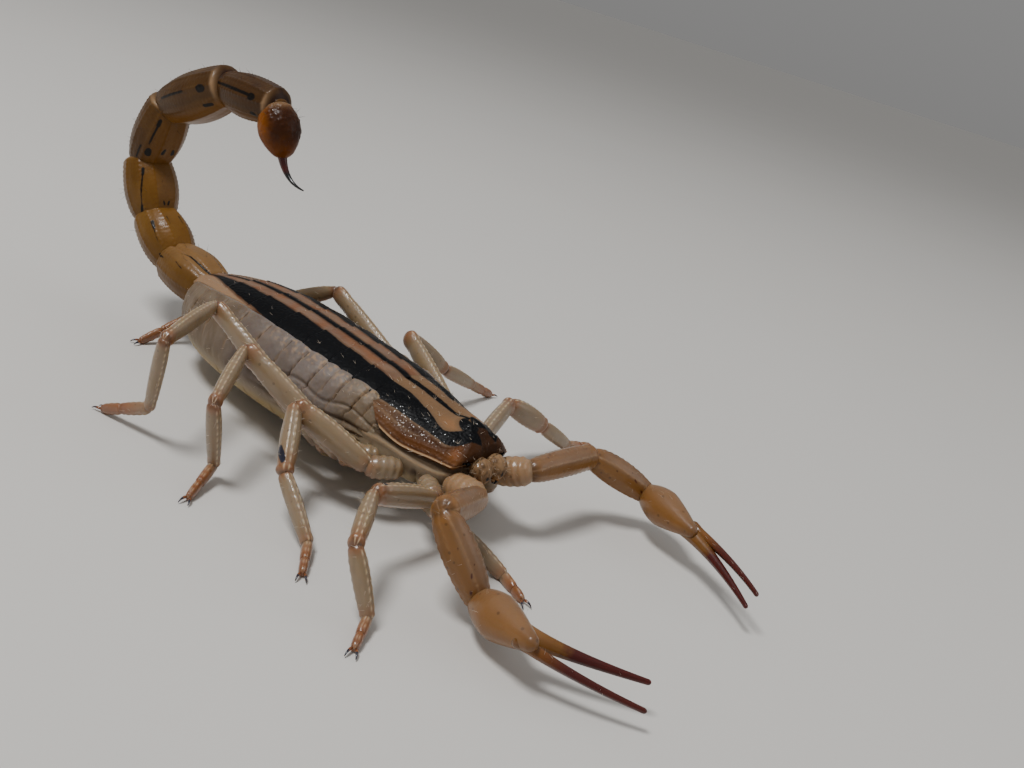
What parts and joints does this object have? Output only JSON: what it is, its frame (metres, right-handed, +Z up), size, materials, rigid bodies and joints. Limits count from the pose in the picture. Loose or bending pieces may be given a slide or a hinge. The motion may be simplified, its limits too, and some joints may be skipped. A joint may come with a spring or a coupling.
{
  "type": "striped bark scorpion, still life-size model",
  "caption": "Life-size scorpion standing with its tail arched over its back and its pincers spread: honey-coloured shell, dark striped back, pale legs.",
  "frame": {"origin": "middle of the whole animal's outline seen from above, on the floor under its feet", "axes": "-Y the way the head points, +X the animal's left side, +Z up"},
  "size_m": [0.0266, 0.0424, 0.0159],
  "materials": {
    "back_shell": "glossy shell, black and tan stripes",
    "belly_membrane": "satin, pale folded membrane",
    "tail_shell": "glossy amber shell with dark keels",
    "arm_shell": "glossy tan to amber shell",
    "leg_shell": "glossy, pale and slightly translucent",
    "dark_claw": "glossy, dark red-brown",
    "eye_lens": "polished, black"
  },
  "bodies": {
    "root": {"carapace": "back_shell", "eye_left": "eye_lens", "eye_right": "eye_lens", "chelicera_left": "arm_shell", "chelicera_right": "arm_shell", "coxae": "belly_membrane", "belly": "belly_membrane", "tergite_1": "back_shell", "tergite_2": "back_shell", "tergite_3": "back_shell", "tergite_4": "back_shell", "tergite_5": "back_shell", "tergite_6": "back_shell", "tergite_7": "back_shell", "pectine_left": "belly_membrane", "pectine_right": "belly_membrane", "tail_ring_1": "tail_shell", "tail_ring_2": "tail_shell", "tail_ring_3": "tail_shell", "tail_ring_4": "tail_shell", "tail_ring_5": "tail_shell", "tail_ring_6": "tail_shell", "telson_vesicle": "dark_claw", "telson_sting": "dark_claw", "pedipalp_left_trochanter": "arm_shell", "pedipalp_left_femur": "arm_shell", "pedipalp_left_patella": "arm_shell", "pedipalp_left_palm": "arm_shell", "pedipalp_left_finger": "dark_claw", "leg_1_left_femur": "leg_shell", "leg_1_left_patella": "leg_shell", "leg_1_left_tibia": "leg_shell", "leg_2_left_femur": "leg_shell", "leg_2_left_patella": "leg_shell", "leg_2_left_tibia": "leg_shell", "leg_3_left_femur": "leg_shell", "leg_3_left_patella": "leg_shell", "leg_3_left_tibia": "leg_shell", "leg_4_left_femur": "leg_shell", "leg_4_left_patella": "leg_shell", "leg_4_left_tibia": "leg_shell", "pedipalp_right_trochanter": "arm_shell", "pedipalp_right_femur": "arm_shell", "pedipalp_right_patella": "arm_shell", "pedipalp_right_palm": "arm_shell", "pedipalp_right_finger": "dark_claw", "leg_1_right_femur": "leg_shell", "leg_1_right_patella": "leg_shell", "leg_1_right_tibia": "leg_shell", "leg_2_right_femur": "leg_shell", "leg_2_right_patella": "leg_shell", "leg_2_right_tibia": "leg_shell", "leg_3_right_femur": "leg_shell", "leg_3_right_patella": "leg_shell", "leg_3_right_tibia": "leg_shell", "leg_4_right_femur": "leg_shell", "leg_4_right_patella": "leg_shell", "leg_4_right_tibia": "leg_shell"}
  },
  "joints": []
}
